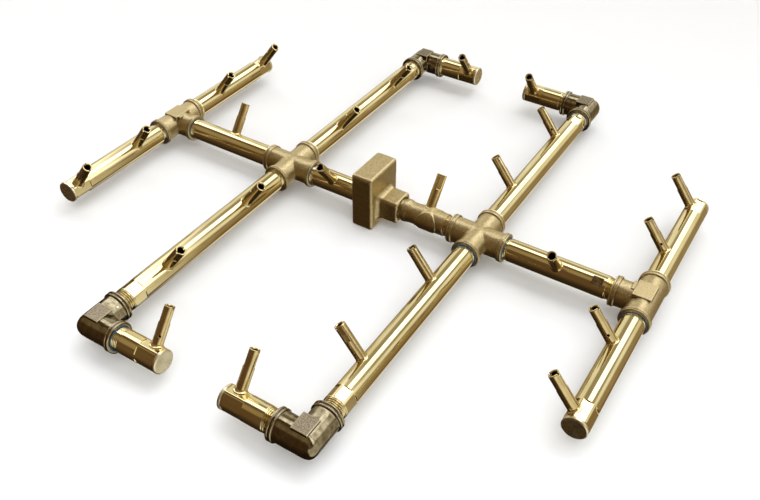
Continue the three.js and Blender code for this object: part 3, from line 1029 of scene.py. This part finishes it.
def place_jet(node, meshes, branch, distance, lean, quarter):
    """A jet on a branch. quarter turns its air hole away from the front, unless the jet is listed above."""
    quarter = HOLE_QUARTERS.get(node, quarter)
    mesh = meshes[(quarter - round(branch[2] / 90)) % 4, lean]
    place(f"{node}_look", mesh, branch, distance, node)


def place_pipe(node, branch, end, threads, flats=(), other=None, where=None):
    """A pipe that starts in the fitting at the head of a branch."""
    mesh = finish_mesh(pipe_mesh(node, PIPE_END, end, threads, flats), "drawn_brass", other, where)
    place(f"{node}_look", mesh, branch, node=node)


def place_plugged_pipe(name, branch, length, first_thread, plug, turn):
    """A pipe that ends in a plug, with spanner flats beside it."""
    tube_end = length - PLUG_HEAD - CLEARANCE
    flats = [(length - PLUG_FLATS, tube_end + 1, math.radians(turn), 6)]
    place_pipe(f"{name}_pipe", branch, tube_end, [(REACH, 1, first_thread)], flats)
    place(f"{name}_plug_look", plug, branch, length, f"{name}_plug")


def build_trunk(side_name, side, fittings, jets):
    """The tee and the cross of one side, and the trunk pipe between them with its jet."""
    for kind, at in (("tee", TEE_X), ("cross", CROSS_X)):
        node = f"{side_name}_{kind}"
        place(f"{node}_look", fittings[kind], (side * at, 0, 90 + 90 * side), node=node)

    outward = (side * CROSS_X, 0, 90 - 90 * side)
    span = TEE_X - CROSS_X
    threads = [(REACH, 1, THREAD_SHOWN), (span - REACH, -1, TEE_THREAD)]
    node = f"{side_name}_trunk_pipe"
    if side > 0:
        flats = [(*TRUNK_FLAT, math.radians(TRUNK_FLAT_FACING), 1)]
        place_pipe(node, outward, span - PIPE_END, threads, flats, SCORCHED, on_trunk_flat)
    else:
        place_pipe(node, outward, span - PIPE_END, threads)
    place_jet(f"{side_name}_trunk_jet", jets, outward, TRUNK_OUTER_JET, -1, 2)


def build_arms(name, side, end, fittings, jets, plug):
    """The tee arm and the cross arm on one side, at the front or back, and the elbow and nipple beyond."""
    tee_arm = (side * TEE_X, 0, end * 90)
    cross_arm = (side * CROSS_X, 0, end * 90)
    nipple = (side * CROSS_X, end * CROSS_ARM, 90 + 90 * side)
    long_thread = LONG_THREAD if end < 0 else THREAD_SHOWN

    turn = -TEE_ARM_FLATS_FACING[side] * end
    place_plugged_pipe(f"{name}_tee_arm", tee_arm, TEE_ARM, THREAD_SHOWN, plug, turn)

    face = CROSS_ARM - REACH
    turn = math.radians(-CROSS_ARM_FLATS_FACING[side] * end)
    flats = [(face - ELBOW_FLATS[1], face - ELBOW_FLATS[0], turn, 6)]
    threads = [(REACH, 1, THREAD_SHOWN), (face, -1, long_thread)]
    place_pipe(f"{name}_cross_arm_pipe", cross_arm, CROSS_ARM - PIPE_END, threads, flats)

    turn = NIPPLE_FLATS_FACING * side
    place_plugged_pipe(f"{name}_nipple", nipple, NIPPLE, long_thread, plug, turn)
    kind = "elbow" if side * end > 0 else "turned_elbow"
    heading = {(-1, -1): 0, (1, 1): 180, (1, -1): 90, (-1, 1): 270}[side, end]
    elbow = (side * CROSS_X, end * CROSS_ARM, heading)
    place(f"{name}_elbow_look", fittings[kind], elbow, node=f"{name}_elbow")

    lean = side * end
    for index, which in enumerate(("inner", "outer")):
        place_jet(f"{name}_tee_arm_jet_{which}", jets, tee_arm, TEE_JETS[index], lean, 1 + index)
        place_jet(f"{name}_cross_arm_jet_{which}", jets, cross_arm, CROSS_JETS[index], lean, 2 + index)
    place_jet(f"{name}_nipple_jet", jets, nipple, NIPPLE_JET, lean, 2)


def build_side(side_name, side, fittings, jets, plug):
    build_trunk(side_name, side, fittings, jets)
    for end_name, end in (("front", -1), ("back", 1)):
        build_arms(f"{side_name}_{end_name}", side, end, fittings, jets, plug)


def build_middle(jets):
    """The mixer, the orifice inside it, and the pipe and neck on its two sides."""
    trunk = (0, 0, 0)
    down = Matrix.Translation((0, 0, -PIPE_Z * MM))
    half_y = MIXER_SIZE[1] / 2
    low, high = (MIXER_LEFT, -half_y, 0), (BOSS_FACE, half_y, MIXER_SIZE[2])
    mixer = grown("mixer", mixer_field, low, high, MIXER_STEP)
    finish_mesh(mixer, "cast_brass", MACHINED, cut_in_mixer)
    place("mixer_body_look", mixer, trunk, node="mixer_body", local=down)

    orifice = finish_mesh(orifice_mesh(), "turned_brass")
    upright = down @ Matrix.Rotation(-math.pi / 2, 4, "Y")
    place("gas_orifice_look", orifice, (MIXER_X, 0, 0), node="gas_orifice", local=upright)

    start = BOSS_FACE - BOSS_PORT_DEPTH
    edge = NECK_BRANCH_REACH - NECK_EDGE
    neck = grown("neck", neck_field, (start, -edge, -edge), (NECK_END, edge, edge), NECK_STEP)
    finish_mesh(neck, "cast_brass", MACHINED, on_neck_thread)
    place("mixer_neck_look", neck, trunk, node="mixer_neck")
    place_jet("neck_jet", jets, trunk, NECK_JET_X, 1, 3)

    left_cross = (-CROSS_X, 0, 0)
    end = MIXER_X - CAVITY_SIZE[0] / 2 + CROSS_X - CLEARANCE
    threads = [(REACH, 1, THREAD_SHOWN), (MIXER_LEFT + CROSS_X, -1, MIXER_THREAD)]
    place_pipe("left_inner_trunk_pipe", left_cross, end, threads)
    place_jet("left_inner_trunk_jet", jets, left_cross, LEFT_INNER_JET_X + CROSS_X, -1, 2)


def build_sealant():
    for number, (*branch, amount) in enumerate(SEALED_PORTS):
        mesh = finish_mesh(sealant_mesh(amount, number), "thread_sealant")
        place(f"sealant_{number}", mesh, branch, REACH)


# ---------------------------------------------------------------- surroundings


def stage_mesh():
    """A disc that curves up into a wall all round, far from the object."""
    sweep = STAGE_R - FLOOR_R
    profile = [(0.02, 0), (FLOOR_R / 2, 0), (FLOOR_R, 0)]
    for t in np.linspace(0.1, math.pi / 2, 12):
        profile.append((FLOOR_R + math.sin(t) * sweep, STAGE_RISE * (1 - math.cos(t))))
    angles = np.linspace(0, 2 * math.pi, 96, endpoint=False)
    points = [(r * math.cos(a), r * math.sin(a), z) for r, z in profile for a in angles]
    index = np.arange(len(points)).reshape(len(profile), -1)
    rolled = np.roll(index, -1, axis=1)
    quads = np.stack([index[:-1], index[1:], rolled[1:], rolled[:-1]], axis=-1).reshape(-1, 4)
    return mesh_of("stage", np.array(points) / MM, quads.tolist() + [index[0].tolist()])


def build_stage():
    mesh = stage_mesh()
    floor = bpy.data.objects.new("floor", mesh)
    bpy.context.collection.objects.link(floor)
    floor.visible_glossy = False  # the metal mirrors the room's light and not the floor
    material = bpy.data.materials.new("pale_floor")
    material.use_nodes = True
    shader = material.node_tree.nodes["Principled BSDF"]
    shader.inputs["Base Color"].default_value = FLOOR_COLOUR
    shader.inputs["Roughness"].default_value = 0.9
    shader.inputs["Specular IOR Level"].default_value = 0
    mesh.materials.append(material)


def build_light():
    """A soft box in front and above that lights the floor. The metal mirrors the room instead."""
    lamp = bpy.data.lights.new("softbox", "AREA")
    lamp.shape = "RECTANGLE"
    lamp.size, lamp.size_y = SOFTBOX_SIZE
    lamp.energy = SOFTBOX_POWER
    lamp.color = SOFTBOX_COLOUR
    softbox = bpy.data.objects.new("softbox", lamp)
    softbox.location = SOFTBOX_AT
    softbox.rotation_euler = softbox.location.to_track_quat("Z", "Y").to_euler()
    softbox.visible_glossy = False
    bpy.context.collection.objects.link(softbox)


def bands(tree, value, stops):
    """A ramp whose stops are given from -1 to 1, like the value."""
    shifted = [((position + 1) / 2, colour) for position, colour in stops]
    return ramp(tree, ranged(tree, value, -1, 1, 0, 1), shifted)


def build_room():
    """What the metal mirrors: a bright screen above, pale walls behind, and darkness in front and below."""
    world = bpy.data.worlds.new("room")
    bpy.context.scene.world = world
    world.use_nodes = True
    tree = world.node_tree
    direction = add(tree, "ShaderNodeTexCoord").outputs["Generated"]
    x, y, z = add(tree, "ShaderNodeSeparateXYZ", {"Vector": direction}).outputs

    def fade(value, limits):
        return ranged(tree, value, *limits, 0, 1)

    sloping = add(tree, "ShaderNodeMath", {0: x, 1: WALL_SLOPE, 2: z}, operation="MULTIPLY_ADD").outputs[0]
    above = mixed(tree, fade(z, WALL_TO_CEILING), bands(tree, sloping, WALL), bands(tree, x, CEILING))
    back = mixed(tree, fade(z, GROUND_TO_WALL), bands(tree, x, GROUND), above)

    front = mixed(tree, fade(z, UNDER_TO_OVER), bands(tree, z, UNDERNEATH), bands(tree, y, OVERHEAD))
    below_top = ranged(tree, z, *CARD_TOP, 1, 0)
    card = add(tree, "ShaderNodeMath", {0: fade(x, CARD_FROM), 1: below_top}, operation="MULTIPLY").outputs[0]
    front = mixed(tree, card, front, PALE)

    room = mixed(tree, fade(y, FRONT_TO_BACK), front, back)
    tree.links.new(room, tree.nodes["Background"].inputs["Color"])


def build_camera():
    data = bpy.data.cameras.new("camera")
    data.sensor_width = CAMERA_SENSOR
    data.lens = CAMERA_LENS
    data.clip_start = 0.01
    camera = bpy.data.objects.new("camera", data)
    bpy.context.collection.objects.link(camera)
    level = math.cos(CAMERA_ELEVATION)
    sideways, forwards = math.sin(CAMERA_AZIMUTH) * level, -math.cos(CAMERA_AZIMUTH) * level
    back = Vector((sideways, forwards, math.sin(CAMERA_ELEVATION)))
    right = Vector((0, 0, 1)).cross(back).normalized()
    up = back.cross(right)
    rolled_right = right * math.cos(CAMERA_ROLL) + up * math.sin(CAMERA_ROLL)
    rolled_up = back.cross(rolled_right)
    turn = Matrix((rolled_right, rolled_up, back)).transposed().to_4x4()
    camera.matrix_world = Matrix.Translation(CAMERA_TARGET + back * CAMERA_DISTANCE) @ turn
    bpy.context.scene.camera = camera


build_camera()
build_stage()
build_light()
build_room()
bpy.context.scene.view_settings.view_transform = "Standard"
jets = jet_meshes()
fittings = fitting_meshes()
plug = finish_mesh(plug_mesh(), "plug_brass")
build_side("left", -1, fittings, jets, plug)
build_side("right", 1, fittings, jets, plug)
build_middle(jets)
build_sealant()
